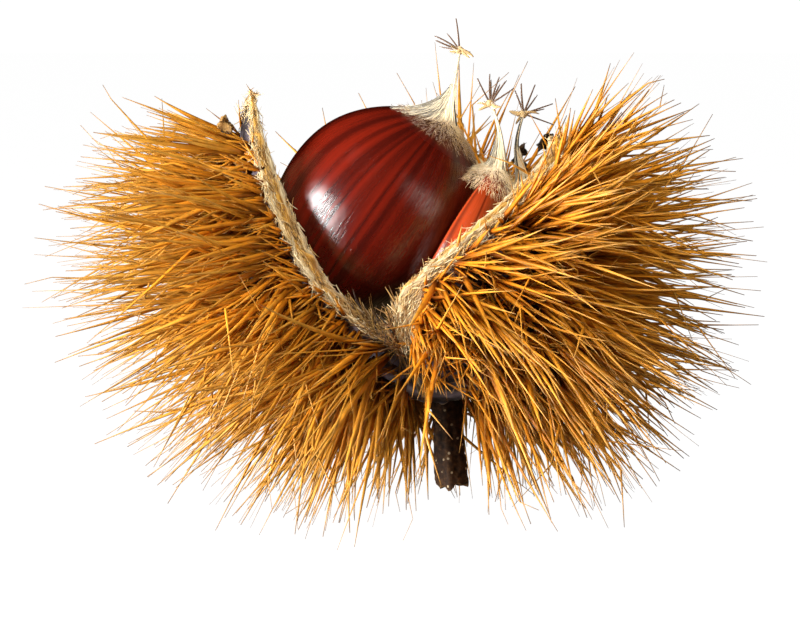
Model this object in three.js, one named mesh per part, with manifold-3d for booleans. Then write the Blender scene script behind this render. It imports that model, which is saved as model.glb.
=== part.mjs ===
// A sweet chestnut in its husk: a spiny burr split open along its seams, three nuts in it, and its stalk.
// Millimetres, +Z up. The burr rests on the tips of its lower spines at z = 0.

import * as THREE from 'three';
import { mergeVertices } from 'three/addons/utils/BufferGeometryUtils.js';
import Module from 'manifold-3d';

const wasm = await Module();
wasm.setup();

// ---------- driving dimensions ----------

const GAP = 0.3;                                // left between pieces that touch
const SEAM_GAP = 0.8;                           // the valves have shrunk apart along their seams

const BURR = {
  radius: 24,                                   // outer skin of the wall at the widest
  flatness: 0.86,                               // depth of the cup over its width
  waist: 42,                                    // height of the widest ring
  baseCentre: new THREE.Vector2(5.2, -2),       // where the stalk meets the wall
  leans: { from: 25, to: 36 },                  // between these heights the cup shifts over to the origin
  hole: 3.3,                                    // round the top of the stalk
  wallAtBase: 6,
  wallAtRim: 3,
  thinsOver: 0.62,                              // share of a valve's length, from the stalk, where it thins
  swell: { out: 0.1, back: 0.009 },             // above the waist the wall bows out, then comes back in
  tipWidth: 0.05,                               // share of its width that a valve keeps at its tip
  gridSteps: 14,                                // of the wall, along and across
};

// How far the spine tips reach: half width, half depth and half height about reachHeight.
const REACH = new THREE.Vector3(54.6, 46, 44);
const REACH_HEIGHT = 36;

// Each valve runs from seam to seam (degrees round +Z) and narrows from its two notches up to its tip.
const SEAM = { front: 256, left: 150, right: 25 };
const VALVES = [
  {
    name: 'left_valve',
    tip: { azimuth: 190, height: 62.5 },
    start: { azimuth: SEAM.left, notch: 38, power: 1.3, fullness: 0.8 },
    end: { azimuth: SEAM.front, notch: 27.5, power: 0.8, fullness: 0.7 },
    lift: 8,
    seed: 11,
  },
  {
    name: 'right_valve',
    tip: { azimuth: 352, height: 56 },
    start: { azimuth: SEAM.front, notch: 27.5, power: 1.5, fullness: 0.85 },
    end: { azimuth: SEAM.right + 360, notch: 42, power: 1.3, fullness: 0.8 },
    lift: 58,
    seed: 23,
  },
  {
    name: 'back_valve',
    tip: { azimuth: 66, height: 52 },
    start: { azimuth: SEAM.right, notch: 42, power: 1.3, fullness: 0.8 },
    end: { azimuth: SEAM.left, notch: 38, power: 1.3, fullness: 0.8 },
    lift: 30,
    seed: 37,
  },
];

const SPINE = {
  baseRadius: 0.95,
  tipRadius: 0.3,
  sides: 4,
  spacing: 4.3,
  sunk: 1.4,                                    // below the skin, so that each one is joined to the wall
  seamMargin: 1.7,
  rows: 13,
  firstRow: 0.14,                               // shares of the valve's length, from the stalk
  lastRow: 0.96,
  stagger: 0.02,
  parting: 0.94,                                // how far the spines fan out along a row
  unevenTilt: 9,                                // degrees
  shortest: 0.86,                               // of the whole reach
  footSlope: -0.6,                              // spines that point down more than this reach the ground
};

const NUTS = [
  {
    name: 'large_nut',
    centre: new THREE.Vector3(-3.2, -1.5, 45.6),
    axis: new THREE.Vector3(0.58, -0.1, 0.81),
    size: new THREE.Vector3(30.6, 25.5, 33.6),  // across, deep, from scar to tip
    styleTop: new THREE.Vector3(8, -4, 68.9),
  },
  {
    name: 'middle_nut',
    centre: new THREE.Vector3(8, -5, 41.2),
    axis: new THREE.Vector3(0.44, -0.04, 0.9),
    size: new THREE.Vector3(15, 21, 25.5),
    styleTop: new THREE.Vector3(12.4, -6.5, 61.4),
  },
  {
    name: 'small_nut',
    centre: new THREE.Vector3(13.2, 1.5, 39.5),
    axis: new THREE.Vector3(0.4, 0.02, 0.92),
    size: new THREE.Vector3(9, 17, 22),
    styleTop: new THREE.Vector3(17.4, 1, 59.5),
  },
];

// The nuts grew pressed together, so each pair meets on a flat face.
const PRESSED = [
  { point: new THREE.Vector3(4.2, -12, 40), normal: new THREE.Vector3(0.867, -0.2, -0.5) },
  { point: new THREE.Vector3(12.2, -5, 40), normal: new THREE.Vector3(0.9, -0.05, -0.42) },
];

const STALK = {
  top: new THREE.Vector3(5.2, -2, 22.6),
  cut: new THREE.Vector3(7.7, -3, 4.6),
  radius: 2.35,
  sides: 12,
};

const NUT_STEPS = { rings: 13, sides: 24 };

const STYLE = {
  sunk: 0.8,
  skirt: 2.4,                                   // radius on the tip of the large nut
  skirtShare: 0.45,                             // of the way up to the knob
  neck: 0.75,
  neckSides: 10,
  knob: 1.5,
  bristles: 6,
  bristleLength: 4.2,
  bristleRadius: 0.32,
  bristleLift: { middle: 0.75, swing: 0.25 },
};

// ---------- small tools ----------

const UP = new THREE.Vector3(0, 0, 1);

function seededRandom(seed) {
  let state = seed;
  return () => {
    state = (Math.imul(state, 1664525) + 1013904223) >>> 0;
    return state / 4294967296;
  };
}

function toSolid(geometry) {
  const bare = geometry.clone();
  bare.deleteAttribute('normal');
  bare.deleteAttribute('uv');
  const merged = mergeVertices(bare, 1e-4);
  const mesh = new wasm.Mesh({
    numProp: 3,
    vertProperties: Float32Array.from(merged.attributes.position.array),
    triVerts: Uint32Array.from(merged.index.array),
  });
  return new wasm.Manifold(mesh);
}

function toGeometry(solid) {
  const mesh = solid.getMesh();
  const geometry = new THREE.BufferGeometry();
  geometry.setAttribute('position', new THREE.BufferAttribute(Float32Array.from(mesh.vertProperties), 3));
  geometry.setIndex(new THREE.BufferAttribute(Uint32Array.from(mesh.triVerts), 1));
  geometry.computeVertexNormals();
  return geometry;
}

// A block whose one face passes through point, and which fills the side that normal points to.
function halfSpace(point, normal, shift = 0) {
  const side = 160;
  const block = new THREE.BoxGeometry(side, side, side);
  block.translate(0, 0, side / 2 + shift);
  const direction = normal.clone().normalize();
  block.applyQuaternion(new THREE.Quaternion().setFromUnitVectors(UP, direction));
  block.translate(point.x, point.y, point.z);
  return toSolid(block);
}

// A straight taper from one point to another.
function taper(from, to, fromRadius, toRadius, sides) {
  const along = to.clone().sub(from);
  const geometry = new THREE.CylinderGeometry(toRadius, fromRadius, along.length(), sides, 1);
  geometry.rotateX(Math.PI / 2);
  geometry.translate(0, 0, along.length() / 2);
  geometry.applyQuaternion(new THREE.Quaternion().setFromUnitVectors(UP, along.normalize()));
  geometry.translate(from.x, from.y, from.z);
  return geometry;
}

// ---------- the wall of the burr ----------

const radians = THREE.MathUtils.degToRad;

function cupCentre(height) {
  const { from, to } = BURR.leans;
  return BURR.baseCentre.clone().multiplyScalar(THREE.MathUtils.clamp((to - height) / (to - from), 0, 1));
}

// The height and radius of the wall: along runs from 0 at the stalk to 1 at the valve's tip.
function profile(valve, along, depth) {
  const radius = BURR.radius - depth;
  const first = Math.asin(BURR.hole / radius);
  const cupLength = BURR.radius * (Math.PI / 2 - Math.asin(BURR.hole / BURR.radius));
  const flankLength = valve.tip.height - BURR.waist;
  const travelled = along * (cupLength + flankLength);
  if (travelled < cupLength) {
    const angle = THREE.MathUtils.lerp(first, Math.PI / 2, travelled / cupLength);
    return { radius: radius * Math.sin(angle), height: BURR.waist - radius * Math.cos(angle), angle };
  }
  const climb = travelled - cupLength;
  const bow = BURR.swell.out * climb - BURR.swell.back * climb * climb;
  const tilt = Math.PI / 2 + radians(valve.lift) * (climb / flankLength);
  return { radius: radius + bow, height: BURR.waist + climb, angle: tilt };
}

// The azimuth of one edge of the valve at a height.
function edgeAzimuth(valve, edge, height) {
  if (height <= edge.notch) {
    return edge.azimuth;
  }
  const climbed = (height - edge.notch) / (valve.tip.height - edge.notch);
  const width = (1 - climbed ** edge.power) ** edge.fullness;
  return valve.tip.azimuth + (edge.azimuth - valve.tip.azimuth) * Math.max(width, BURR.tipWidth);
}

// A point of the wall: across runs from 0 at the valve's start edge to 1 at its end edge.
function wallPoint(valve, along, across, depth) {
  const ring = profile(valve, along, depth);
  const seamGap = SEAM_GAP / 2 / ring.radius;
  const start = radians(edgeAzimuth(valve, valve.start, ring.height)) + seamGap;
  const end = radians(edgeAzimuth(valve, valve.end, ring.height)) - seamGap;
  const azimuth = THREE.MathUtils.lerp(start, end, across);
  const centre = cupCentre(ring.height);
  const deep = BURR.hole + (ring.radius - BURR.hole) * BURR.flatness;
  const place = new THREE.Vector3(
    centre.x + ring.radius * Math.cos(azimuth),
    centre.y + deep * Math.sin(azimuth),
    ring.height,
  );
  return { place, azimuth, tilt: ring.angle, halfWidth: (ring.radius * (end - start)) / 2 };
}

function wallGeometry(valve) {
  const rows = BURR.gridSteps;
  const columns = BURR.gridSteps;
  const positions = [];
  for (const inside of [false, true]) {
    for (let row = 0; row <= rows; row += 1) {
      const along = row / rows;
      const thinned = Math.min(1, along / BURR.thinsOver);
      const thickness = THREE.MathUtils.lerp(BURR.wallAtBase, BURR.wallAtRim, thinned);
      for (let column = 0; column <= columns; column += 1) {
        const { place } = wallPoint(valve, along, column / columns, inside ? thickness : 0);
        positions.push(place.x, place.y, place.z);
      }
    }
  }
  const inner = (rows + 1) * (columns + 1);
  const at = (row, column) => row * (columns + 1) + column;
  const triangles = [];
  for (let row = 0; row < rows; row += 1) {
    for (let column = 0; column < columns; column += 1) {
      const corners = [at(row, column), at(row, column + 1), at(row + 1, column + 1), at(row + 1, column)];
      const [a, b, c, d] = corners;
      triangles.push(a, b, c, a, c, d);
      triangles.push(inner + c, inner + b, inner + a, inner + d, inner + c, inner + a);
    }
  }
  const outline = [];
  for (let column = 0; column < columns; column += 1) outline.push(at(0, column));
  for (let row = 0; row < rows; row += 1) outline.push(at(row, columns));
  for (let column = columns; column > 0; column -= 1) outline.push(at(rows, column));
  for (let row = rows; row > 0; row -= 1) outline.push(at(row, 0));
  outline.forEach((a, place) => {
    const b = outline[(place + 1) % outline.length];
    triangles.push(b, a, inner + a, b, inner + a, inner + b);
  });
  const geometry = new THREE.BufferGeometry();
  geometry.setAttribute('position', new THREE.Float32BufferAttribute(positions, 3));
  geometry.setIndex(triangles);
  return geometry;
}

// ---------- spines ----------

// How far a ray from a point runs before it leaves the reach of the spines.
function lengthToReach(from, direction) {
  const p = from.clone().setZ(from.z - REACH_HEIGHT).divide(REACH);
  const d = direction.clone().divide(REACH);
  const a = d.dot(d);
  const b = p.dot(d);
  const c = p.dot(p) - 1;
  return (-b + Math.sqrt(Math.max(0, b * b - a * c))) / a;
}

function spineGeometries(valve) {
  const random = seededRandom(valve.seed);
  const spines = [];
  for (let row = 0; row < SPINE.rows; row += 1) {
    const along = THREE.MathUtils.lerp(SPINE.firstRow, SPINE.lastRow, row / (SPINE.rows - 1));
    const { halfWidth } = wallPoint(valve, along, 0.5, 0);
    const usable = 2 * (halfWidth - SPINE.seamMargin);
    const count = Math.max(1, Math.round(usable / SPINE.spacing));
    for (let place = 0; place < count; place += 1) {
      const spread = (place + 0.5 + 0.5 * (random() - 0.5)) / count - 0.5;
      const across = 0.5 + (spread * usable) / (2 * halfWidth);
      const root = wallPoint(valve, along + SPINE.stagger * (random() - 0.5), across, SPINE.sunk);
      const middle = wallPoint(valve, along, 0.5, 0).azimuth;
      const azimuth = middle + (root.azimuth - middle) * SPINE.parting;
      const tilt = root.tilt + radians(SPINE.unevenTilt) * (random() - 0.5);
      const direction = new THREE.Vector3(
        Math.sin(tilt) * Math.cos(azimuth),
        Math.sin(tilt) * Math.sin(azimuth),
        -Math.cos(tilt),
      );
      const shortest = direction.z < SPINE.footSlope ? 1 : SPINE.shortest;
      const length = lengthToReach(root.place, direction) * (shortest + (1 - shortest) * random());
      const tip = root.place.clone().addScaledVector(direction, length);
      spines.push(taper(root.place, tip, SPINE.baseRadius, SPINE.tipRadius, SPINE.sides));
    }
  }
  return spines;
}

function valveSolid(valve) {
  let solid = toSolid(wallGeometry(valve));
  for (const spine of spineGeometries(valve)) {
    solid = solid.add(toSolid(spine));
  }
  return solid.intersect(halfSpace(new THREE.Vector3(0, 0, 0), UP));
}

// ---------- nuts ----------

function nutGeometry(nut, grow = 0) {
  const outline = new THREE.SplineCurve([
    new THREE.Vector2(0, -0.98),
    new THREE.Vector2(0.5, -0.95),
    new THREE.Vector2(0.85, -0.62),
    new THREE.Vector2(1, -0.08),
    new THREE.Vector2(0.88, 0.44),
    new THREE.Vector2(0.5, 0.8),
    new THREE.Vector2(0.17, 0.95),
    new THREE.Vector2(0, 1),
  ]);
  const points = outline.getPoints(NUT_STEPS.rings);
  points.forEach((point) => point.setX(Math.max(0, point.x)));
  points[0].setX(0);
  points[points.length - 1].setX(0);
  const geometry = new THREE.LatheGeometry(points, NUT_STEPS.sides);
  geometry.rotateX(Math.PI / 2);
  const half = nut.size.clone().multiplyScalar(0.5).addScalar(grow);
  geometry.scale(half.x, half.y, half.z);
  const axis = nut.axis.clone().normalize();
  geometry.applyQuaternion(new THREE.Quaternion().setFromUnitVectors(UP, axis));
  geometry.translate(nut.centre.x, nut.centre.y, nut.centre.z);
  return geometry;
}

function nutSolids() {
  const [large, middle, small] = NUTS.map((nut) => toSolid(nutGeometry(nut)));
  const [first, second] = PRESSED;
  const side = (plane, sign) => halfSpace(plane.point, plane.normal.clone().multiplyScalar(sign), GAP / 2);
  return [
    large.intersect(side(first, -1)),
    middle.intersect(side(first, 1)).intersect(side(second, -1)),
    small.intersect(side(second, 1)),
  ];
}

// The dried style on the tip of a nut: a hairy skirt, a thin neck, and a star of stiff bristles.
function styleSolid(nut, order) {
  const axis = nut.axis.clone().normalize();
  const root = nut.centre.clone().addScaledVector(axis, nut.size.z / 2 - STYLE.sunk);
  const neck = root.clone().lerp(nut.styleTop, STYLE.skirtShare);
  const size = nut.size.z / NUTS[0].size.z;
  let solid = toSolid(taper(root, neck, STYLE.skirt * size, STYLE.neck, STYLE.neckSides));
  solid = solid.add(toSolid(taper(neck, nut.styleTop, STYLE.neck * 1.02, STYLE.neck * 0.8, STYLE.neckSides)));
  const knob = new THREE.IcosahedronGeometry(STYLE.knob * (0.6 + 0.4 * size), 1);
  knob.translate(nut.styleTop.x, nut.styleTop.y, nut.styleTop.z);
  solid = solid.add(toSolid(knob));
  for (let turn = 0; turn < STYLE.bristles; turn += 1) {
    const azimuth = (turn / STYLE.bristles) * 2 * Math.PI + order;
    const lift = STYLE.bristleLift.middle + STYLE.bristleLift.swing * Math.sin(turn * 2.1 + order);
    const direction = new THREE.Vector3(Math.cos(azimuth), Math.sin(azimuth), lift).normalize();
    const tip = nut.styleTop.clone().addScaledVector(direction, STYLE.bristleLength);
    solid = solid.add(toSolid(taper(nut.styleTop, tip, STYLE.bristleRadius, STYLE.bristleRadius * 0.5, 4)));
  }
  return solid.subtract(toSolid(nutGeometry(nut, GAP)));
}

// ---------- stalk ----------

function stalkGeometry() {
  return taper(STALK.top, STALK.cut, STALK.radius, STALK.radius * 0.98, STALK.sides);
}

// ---------- assembly ----------

const husk = new THREE.MeshStandardMaterial({ color: 0xb98536, roughness: 0.75, metalness: 0 });
const shell = new THREE.MeshStandardMaterial({ color: 0x7a1a10, roughness: 0.25, metalness: 0 });
const silk = new THREE.MeshStandardMaterial({ color: 0xd9c9a6, roughness: 0.85, metalness: 0 });
const bark = new THREE.MeshStandardMaterial({ color: 0x2e2018, roughness: 0.85, metalness: 0 });

const chestnut = new THREE.Group();

function addPiece(name, geometry, material) {
  const mesh = new THREE.Mesh(geometry, material);
  mesh.name = name;
  chestnut.add(mesh);
}

for (const valve of VALVES) {
  addPiece(valve.name, toGeometry(valveSolid(valve)), husk);
}
nutSolids().forEach((solid, order) => {
  addPiece(NUTS[order].name, toGeometry(solid), shell);
  addPiece(`${NUTS[order].name}_style_tuft`, toGeometry(styleSolid(NUTS[order], order)), silk);
});
addPiece('stem', stalkGeometry(), bark);

// The origin lies under the middle of the whole burr.
const middle = new THREE.Box3().setFromObject(chestnut).getCenter(new THREE.Vector3());
chestnut.position.set(-middle.x, -middle.y, 0);

export default chestnut;
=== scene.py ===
import math

import bpy
import numpy as np
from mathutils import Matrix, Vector, noise


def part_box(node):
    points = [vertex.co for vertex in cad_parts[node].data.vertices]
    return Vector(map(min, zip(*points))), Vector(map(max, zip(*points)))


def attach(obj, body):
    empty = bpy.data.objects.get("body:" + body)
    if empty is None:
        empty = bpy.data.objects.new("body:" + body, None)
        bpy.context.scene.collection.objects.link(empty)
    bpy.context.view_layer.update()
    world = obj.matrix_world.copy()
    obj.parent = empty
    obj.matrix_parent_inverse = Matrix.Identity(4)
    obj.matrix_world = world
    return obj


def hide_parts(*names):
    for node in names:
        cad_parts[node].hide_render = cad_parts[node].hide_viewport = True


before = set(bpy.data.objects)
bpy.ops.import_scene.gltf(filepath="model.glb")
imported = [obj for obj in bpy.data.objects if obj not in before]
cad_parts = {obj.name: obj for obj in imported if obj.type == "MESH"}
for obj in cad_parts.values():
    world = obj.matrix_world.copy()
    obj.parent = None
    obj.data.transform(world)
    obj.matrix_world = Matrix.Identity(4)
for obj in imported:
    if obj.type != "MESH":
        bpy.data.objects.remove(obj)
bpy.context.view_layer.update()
noise.seed_set(7)  # so that the roughened surfaces come out the same in each run

MM = 0.001


# ---------- where things are ----------

# The cup that the valves form, in millimetres. Its middle moves from base to the origin between the heights
# lean_from and lean_to. Its wall thins over the share thins_over of its length, and swells past its waist.
CUP = {
    "radius": 24.0, "flatness": 0.86, "waist": 42.0, "hole": 3.3,
    "base": np.array([5.2, -2.0]), "lean_from": 25.0, "lean_to": 36.0,
    "wall_at_base": 6.0, "wall_at_rim": 3.0, "thins_over": 0.62, "seam_gap": 0.8,
    "swell_out": 0.1, "swell_back": 0.009, "tip_width": 0.05,
}
STALK_TOP = np.array([5.2, -2.0, 22.6])
STALK_CUT = np.array([7.7, -3.0, 4.6])
STALK_RADIUS = 2.3
# The ragged end reaches past the cut, so the stalk itself stops a little short of it.
STALK_SHORTENED = 0.94

# The frame's origin is under the middle of the burr's box; the stalk shows how far that is from the cup's.
stem_low, stem_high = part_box("stem")
stem_middle = (np.array(stem_low) + np.array(stem_high)) / 2 / MM
SHIFT = np.array([*(stem_middle[:2] - (STALK_TOP[:2] + STALK_CUT[:2]) / 2), 0.0])

SEAM_FRONT, SEAM_LEFT, SEAM_RIGHT = 256.0, 150.0, 25.0

# Each valve: its tip (azimuth, height), and for each edge the seam's azimuth, the notch's height and the
# two powers that shape its taper. lift: how far above level the spines at its tip point. thin_tip: how much
# thinner its wall is there. parting: how far its spines fan out. steepest: how far up they may point. hue:
# how orange they are. felt_strip: width of the bare felt along its rim. bare_tip: height of the tip without
# spines. crown: tall spines that stand on it. scraps: shreds of dead skin on its rim, each with its foot,
# way, length, width and tint.
VALVES = {
    "left_valve": {
        "tip": (190.0, 62.5), "start": (SEAM_LEFT, 38.0, 1.3, 0.8), "end": (SEAM_FRONT, 27.5, 0.8, 0.7),
        "lift": 8.0, "thin_tip": 0.8, "parting": 0.8, "steepest": 0.4, "hue": 0.35,
        "felt_strip": 0.6, "bare_tip": 6.5, "crown": 0, "seed": 5,
        "scraps": [((-24.2, -3.0, 57.6), (-0.5, -0.1, 0.5), 2.6, 2.2, 0.42)],
    },
    "right_valve": {
        "tip": (352.0, 56.0),
        "start": (SEAM_FRONT, 27.5, 1.5, 0.85), "end": (SEAM_RIGHT + 360, 42.0, 1.3, 0.8),
        "lift": 58.0, "thin_tip": 0.2, "parting": 0.92, "steepest": 0.88, "hue": 0.72,
        "felt_strip": 2.5, "bare_tip": 0.0, "crown": 0, "seed": 6,
        "scraps": [
            ((17.6, 3.2, 51.4), (0.1, 0.2, 1.0), 3.6, 2.1, 0.09),
            ((19.6, 3.0, 54.4), (1.0, 0.3, 0.1), 3.4, 2.1, 0.08),
            ((21.4, 2.2, 54.0), (0.5, -0.1, -1.0), 3.0, 1.8, 0.12),
        ],
    },
    "back_valve": {
        "tip": (66.0, 52.0), "start": (SEAM_RIGHT, 42.0, 1.3, 0.8), "end": (SEAM_LEFT, 38.0, 1.3, 0.8),
        "lift": 30.0, "thin_tip": 0.7, "parting": 0.95, "steepest": 0.93, "hue": 0.5,
        "felt_strip": 1.0, "bare_tip": 0.0, "crown": 19, "seed": 7, "scraps": [],
    },
}
WALL_STEPS = 90
RIM_FIBRES = 2300
STRIP_FIBRES_PER_MM = 900

# The spine tips lie on an egg of these half sizes.
REACH = np.array([55.2, 44.5, 44.0])
REACH_HEIGHT = 36.0
FARTHEST = 1.03

# The kinds of spine on each cluster. spread and most are the degrees that they lean by, and kinks the share
# that are snapped. Lengths are shares of the reach, or millimetres where they are over 2.
SPINES = {
    "long": dict(each=5, spread=17.0, most=48.0, length=(0.56, 0.94), width=(0.6, 1.15), kinks=0.12),
    "far": dict(each=1, spread=15.0, most=34.0, length=(0.84, 1.03), width=(0.5, 0.95), kinks=0.14),
    "branch": dict(each=4, spread=40.0, most=78.0, length=(4.0, 13.0), width=(0.4, 0.75), kinks=0.1),
    "rim": dict(each=7, spread=50.0, most=84.0, length=(3.0, 8.5), width=(0.38, 0.72), kinks=0.05),
    "star": dict(each=9, spread=60.0, most=86.0, length=(4.5, 13.5), width=(0.34, 0.62), kinks=0.1),
}
CLUSTER_SPACING = 2.95
RIM_SPACING = 1.9
THINNEST_SPINE = 0.1
# The patch in front whose long spines broke off: its middle and half sizes, to the right and up.
BARE_PATCH = {"middle": (8, 26.5), "half": (9.5, 7.5)}

# Each nut and the style on it. style_top: the knob. bristles: degrees from upright, to the right, at which
# the stiff stigmas stand. bow: how far the neck bows to the right. foot: radius where the neck's fibres part.
# felt_to: where on the outline the velvet ends. cap: how much further down the pale hair goes on the left.
# velvet: how brown it is, from tip to fringe.
NUTS = {
    "large_nut": {
        "centre": np.array([-3.2, -1.5, 45.6]), "axis": np.array([0.58, -0.1, 0.81]),
        "size": np.array([30.6, 25.5, 33.6]), "style_top": np.array([8.0, -4.0, 68.9]),
        "bristles": (-70, -54, -3), "bow": 0.0, "foot": 1.1, "felt_to": 0.75, "cap": 0.2,
        "velvet": (0.35, 0.78), "seed": 1,
    },
    "middle_nut": {
        "centre": np.array([8.0, -5.0, 41.2]), "axis": np.array([0.44, -0.04, 0.9]),
        "size": np.array([15.0, 21.0, 25.5]), "style_top": np.array([12.4, -6.5, 61.4]),
        "bristles": (-30, -6, 16, 32, 58), "bow": 0.7, "foot": 1.3, "felt_to": 0.68, "cap": 0.1,
        "velvet": (0.22, 0.55), "seed": 2,
    },
    "small_nut": {
        "centre": np.array([13.2, 1.5, 39.5]), "axis": np.array([0.4, 0.02, 0.92]),
        "size": np.array([9.0, 17.0, 22.0]), "style_top": np.array([17.4, 1.0, 59.5]),
        "bristles": (-18, -8, 21, 71, 110), "bow": -1.1, "foot": 0.9, "felt_to": 0.7, "cap": 0.1,
        "velvet": (0.3, 0.65), "seed": 3,
    },
}
VELVET_HAIRS = 3600
TENT_HAIRS = 1100
NECK_FIBRES = 16
KNOB_SCALES = 7
# The side of the nuts that faces the lamps: the shell's colour is lifted a little there, and painted shade
# darkens it away from them.
LAMP_SIDE = np.array([-0.75, -0.3, 0.6])
# The flat faces where the nuts pressed on each other: a point and the way out of the first nut.
PRESSED = [
    (np.array([4.2, -12.0, 40.0]), np.array([0.867, -0.2, -0.5])),
    (np.array([12.2, -5.0, 40.0]), np.array([0.9, -0.05, -0.42])),
]


# ---------- colour and nodes ----------

def linear(hex_colour):
    channels = [int(hex_colour[i:i + 2], 16) / 255 for i in (1, 3, 5)]
    return (*[c / 12.92 if c <= 0.04045 else ((c + 0.055) / 1.055) ** 2.4 for c in channels], 1.0)


def add(tree, kind, settings=None, links=None, stops=()):
    """Adds one node: settings are its properties or values, links feed its inputs, stops fill its ramp."""
    node = tree.nodes.new("ShaderNode" + kind)
    for key, value in (settings or {}).items():
        if isinstance(key, str) and hasattr(node, key):
            setattr(node, key, value)
        else:
            node.inputs[key].default_value = value
    for key, source in (links or {}).items():
        if not isinstance(source, bpy.types.NodeSocket):
            source = next(socket for socket in source.outputs if socket.enabled)
        tree.links.new(source, node.inputs[key])
    for place, colour in stops:
        elements = node.color_ramp.elements
        element = elements.new(place)
        element.color = linear(colour) if isinstance(colour, str) else (colour, colour, colour, 1.0)
    if stops:
        elements.remove(elements[-1] if stops[-1][0] < 1 else elements[-2])
        elements.remove(elements[0] if stops[0][0] > 0 else elements[1])
    return node


def new_material(name, build):
    """A material whose shader and its inputs are made by build(tree), which returns the shader's links."""
    material = bpy.data.materials.new(name)
    material.use_nodes = True
    tree = material.node_tree
    tree.nodes.clear()
    settings, links = build(tree)
    shader = add(tree, "BsdfPrincipled", settings, links)
    add(tree, "OutputMaterial", links={0: shader})
    return material


# ---------- materials ----------

def shaded(tree, colour, pattern, stops):
    """Darkens and lightens a colour by a pattern."""
    shade = add(tree, "ValToRGB", links={0: pattern}, stops=stops)
    settings = {"data_type": "RGBA", "blend_type": "MULTIPLY", "Factor": 1.0}
    return add(tree, "Mix", settings, {6: colour, 7: shade})


def laid_over(tree, under, over, pattern, stops):
    """Lays one colour over another where the stops make the pattern light."""
    mask = add(tree, "ValToRGB", links={0: pattern}, stops=stops)
    if isinstance(over, str):
        return add(tree, "Mix", {"data_type": "RGBA", 7: linear(over)}, {"Factor": mask, 6: under})
    return add(tree, "Mix", {"data_type": "RGBA"}, {"Factor": mask, 6: under, 7: over})


def dry_spine(tree):
    """Dead burr spine: woody golden straw, orange-brown where it is rooted, bleached at its point."""
    uv = add(tree, "UVMap", {"uv_map": "OFBake"})
    parts = add(tree, "SeparateXYZ", links={0: uv})
    tint, along = parts.outputs[0], parts.outputs[1]
    olive = add(tree, "ValToRGB", links={0: along}, stops=[
        (0.0, "#241004"), (0.1, "#5f3509"), (0.35, "#a86e18"), (0.7, "#b98530"), (0.9, "#ab7d3c"),
        (0.99, "#684822")])
    orange = add(tree, "ValToRGB", links={0: along}, stops=[
        (0.0, "#2e0f02"), (0.1, "#803d05"), (0.3, "#cb740c"), (0.65, "#d6891e"), (0.9, "#c48c3c"),
        (0.99, "#784f20")])
    body = add(tree, "Mix", {"data_type": "RGBA"}, {"Factor": tint, 6: olive, 7: orange})
    # a spine's length is one unit up the map: nine patches along it, some 2 mm each, one across
    stretch = add(tree, "Mapping", {"Scale": (260.0, 9.0, 1.0)}, {"Vector": uv})
    mottle = add(tree, "TexNoise", {"Scale": 1.0, "Detail": 3.0}, {"Vector": stretch})
    mixed = shaded(tree, body, mottle, [(0.25, 0.5), (0.5, 0.95), (0.75, 1.2)])
    return {"Roughness": 0.45, "Specular IOR Level": 0.3}, {"Base Color": mixed}


def husk_wall(tree):
    """Burr wall: felted purple-grey skin, a rim torn to grey felt and golden fibre, a pale silky lining."""
    zone = add(tree, "Attribute", {"attribute_name": "zone"}).outputs["Fac"]
    place = add(tree, "TexCoord").outputs["Object"]
    felt_grain = {"Scale": 1 / (0.7 * MM), "Detail": 5.0, "Roughness": 0.65}
    felt = add(tree, "TexNoise", felt_grain, {"Vector": place})
    patches = add(tree, "TexNoise", {"Scale": 1 / (5 * MM), "Detail": 3.0}, {"Vector": place})
    skin = add(tree, "ValToRGB", links={0: patches}, stops=[
        (0.35, "#150c0a"), (0.47, "#34282a"), (0.56, "#6a5e66"), (0.63, "#8d8288"), (0.74, "#3f3029")])
    along_rim = add(tree, "Attribute", {"attribute_name": "fibre_grain"}).outputs["Vector"]
    # torn streaks some 4 mm long and 0.3 mm wide, in the units of make_wall's grain
    streaks = add(tree, "TexNoise", {"Scale": 2.2, "Detail": 6.0, "Roughness": 0.7}, {"Vector": along_rim})
    torn = add(tree, "ValToRGB", links={0: streaks}, stops=[
        (0.3, "#4a2c0e"), (0.42, "#9a6822"), (0.52, "#c8963f"), (0.62, "#ddb86e"), (0.75, "#ecd59c")])
    pale = add(tree, "ValToRGB", links={0: streaks}, stops=[
        (0.3, "#6a5538"), (0.45, "#a58f6a"), (0.6, "#d2bf94"), (0.78, "#ecdebb")])
    lining = add(tree, "ValToRGB", links={0: felt}, stops=[
        (0.3, "#8a6c42"), (0.6, "#c2a878"), (0.8, "#dccba0")])
    outside = laid_over(tree, skin, pale, zone, [(0.12, 0.0), (0.3, 1.0)])
    rim = laid_over(tree, outside, torn, zone, [(0.38, 0.0), (0.43, 1.0), (0.56, 1.0), (0.63, 0.0)])
    whole = laid_over(tree, rim, lining, zone, [(0.72, 0.0), (0.95, 1.0)])
    bump = add(tree, "Bump", {"Strength": 0.6, "Distance": 0.25 * MM}, {"Height": felt})
    return {"Roughness": 0.85, "Sheen Weight": 0.1}, {"Base Color": whole, "Normal": bump}


def torn_fibre(tree):
    """Loose bast fibre pulled out where the burr tore: dry, cream to golden brown, matt."""
    uv = add(tree, "UVMap", {"uv_map": "OFBake"})
    tint = add(tree, "SeparateXYZ", links={0: uv})
    # five patches along a fibre, some 0.3 mm each, one across
    stretch = add(tree, "Mapping", {"Scale": (190.0, 5.0, 1.0)}, {"Vector": uv})
    mottle = add(tree, "TexNoise", {"Scale": 1.0, "Detail": 2.0}, {"Vector": stretch})
    colour = add(tree, "ValToRGB", links={0: tint.outputs[0]}, stops=[
        (0.0, "#1c1208"), (0.08, "#3a260f"), (0.15, "#5a3c18"), (0.35, "#94692c"), (0.6, "#c99f58"),
        (0.99, "#eedcaf")])
    mixed = shaded(tree, colour, mottle, [(0.3, 0.65), (0.7, 1.1)])
    return {"Roughness": 0.8, "Sheen Weight": 0.15}, {"Base Color": mixed}


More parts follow.
